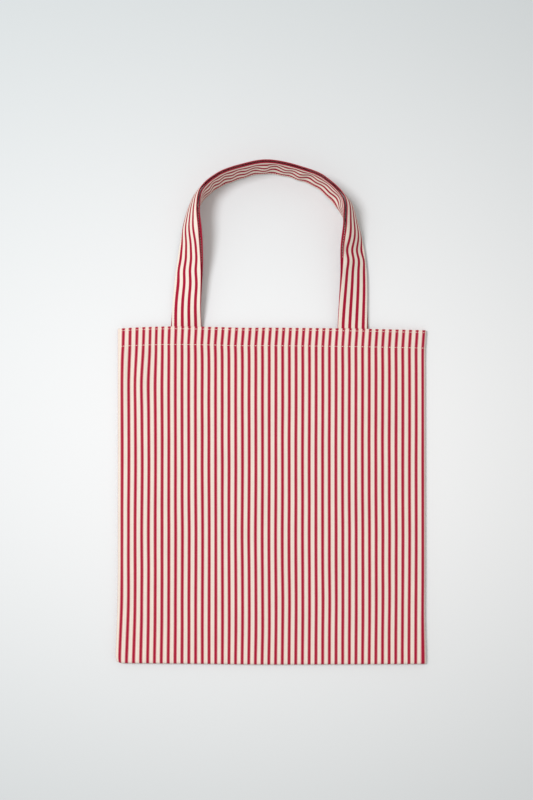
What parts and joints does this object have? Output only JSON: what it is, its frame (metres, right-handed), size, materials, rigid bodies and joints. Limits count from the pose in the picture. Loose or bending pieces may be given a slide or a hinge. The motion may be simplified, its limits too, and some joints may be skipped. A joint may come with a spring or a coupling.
{
  "type": "canvas tote bag",
  "caption": "Flat striped canvas tote bag with a hemmed mouth, folding sides and two strap handles nested one inside the other.",
  "frame": {"origin": "under the middle of the whole bag, handles included, on the surface it lies on", "axes": "+Y from the bottom seam to the handles, +Z out of the front panel, +X to the right of the front panel"},
  "size_m": [0.38, 0.6216, 0.0419],
  "materials": {
    "canvas": "matt woven cotton ticking, narrow red stripes on cream",
    "thread": "matt cream cotton sewing thread"
  },
  "bodies": {
    "back": {"back_panel": "canvas", "back_hem": "canvas", "back_hem_upper_stitches": "thread", "back_hem_lower_stitches": "thread", "back_handle_left_end": "canvas", "back_handle_right_end": "canvas", "bottom_seam": "canvas", "bottom_seam_overlock": "thread"},
    "back_left_side": {"back_panel_left_side": "canvas", "back_hem_left_side": "canvas", "back_hem_upper_stitches_left_side": "thread", "back_hem_lower_stitches_left_side": "thread", "side_seam_left": "canvas", "side_seam_overlock_left": "thread"},
    "back_right_side": {"back_panel_right_side": "canvas", "back_hem_right_side": "canvas", "back_hem_upper_stitches_right_side": "thread", "back_hem_lower_stitches_right_side": "thread", "side_seam_right": "canvas", "side_seam_overlock_right": "thread"},
    "front": {"front_panel": "canvas", "front_hem": "canvas", "front_hem_upper_stitches": "thread", "front_hem_lower_stitches": "thread", "front_handle_left_end": "canvas", "front_handle_right_end": "canvas"},
    "front_left_side": {"front_panel_left_side": "canvas", "front_hem_left_side": "canvas", "front_hem_upper_stitches_left_side": "thread", "front_hem_lower_stitches_left_side": "thread"},
    "front_right_side": {"front_panel_right_side": "canvas", "front_hem_right_side": "canvas", "front_hem_upper_stitches_right_side": "thread", "front_hem_lower_stitches_right_side": "thread"},
    "front_handle_loop": {"front_handle": "canvas", "front_handle_inner_edge_stitches": "thread", "front_handle_outer_edge_stitches": "thread"},
    "back_handle_loop": {"back_handle": "canvas", "back_handle_inner_edge_stitches": "thread", "back_handle_outer_edge_stitches": "thread"}
  },
  "joints": [
    {"name": "mouth_open", "type": "hinge", "parent": "back", "child": "front", "pos_m": [0, -0.3108, 0.00425], "axis": [1, 0, 0], "range_deg": [0, 10]},
    {"name": "front_left_side_fold", "type": "hinge", "parent": "front", "child": "front_left_side", "pos_m": [-0.19, -0.3108, 0.00795], "axis": [-0.1427, -0.9898, 0], "range_deg": [0, 38]},
    {"name": "front_right_side_fold", "type": "hinge", "parent": "front", "child": "front_right_side", "pos_m": [0.19, -0.3108, 0.00795], "axis": [-0.1427, 0.9898, 0], "range_deg": [0, 38]},
    {"name": "back_left_side_fold", "type": "hinge", "parent": "back", "child": "back_left_side", "pos_m": [-0.19, -0.3108, 0.00055], "axis": [0.1427, 0.9898, 0], "range_deg": [0, 38]},
    {"name": "back_right_side_fold", "type": "hinge", "parent": "back", "child": "back_right_side", "pos_m": [0.19, -0.3108, 0.00055], "axis": [0.1427, -0.9898, 0], "range_deg": [0, 38]},
    {"name": "front_handle_swing", "type": "hinge", "parent": "front", "child": "front_handle_loop", "pos_m": [0, 0.1042, 0.00745], "axis": [1, 0, 0], "range_deg": [0, 160]},
    {"name": "back_handle_swing", "type": "hinge", "parent": "back", "child": "back_handle_loop", "pos_m": [0, 0.1042, 0.00105], "axis": [1, 0, 0], "range_deg": [-170, 0]}
  ],
  "couplings": [
    {"joint": "front_left_side_fold", "follows": "mouth_open", "ratio": 3.7},
    {"joint": "front_right_side_fold", "follows": "mouth_open", "ratio": 3.7},
    {"joint": "back_left_side_fold", "follows": "mouth_open", "ratio": 3.7},
    {"joint": "back_right_side_fold", "follows": "mouth_open", "ratio": 3.7}
  ]
}
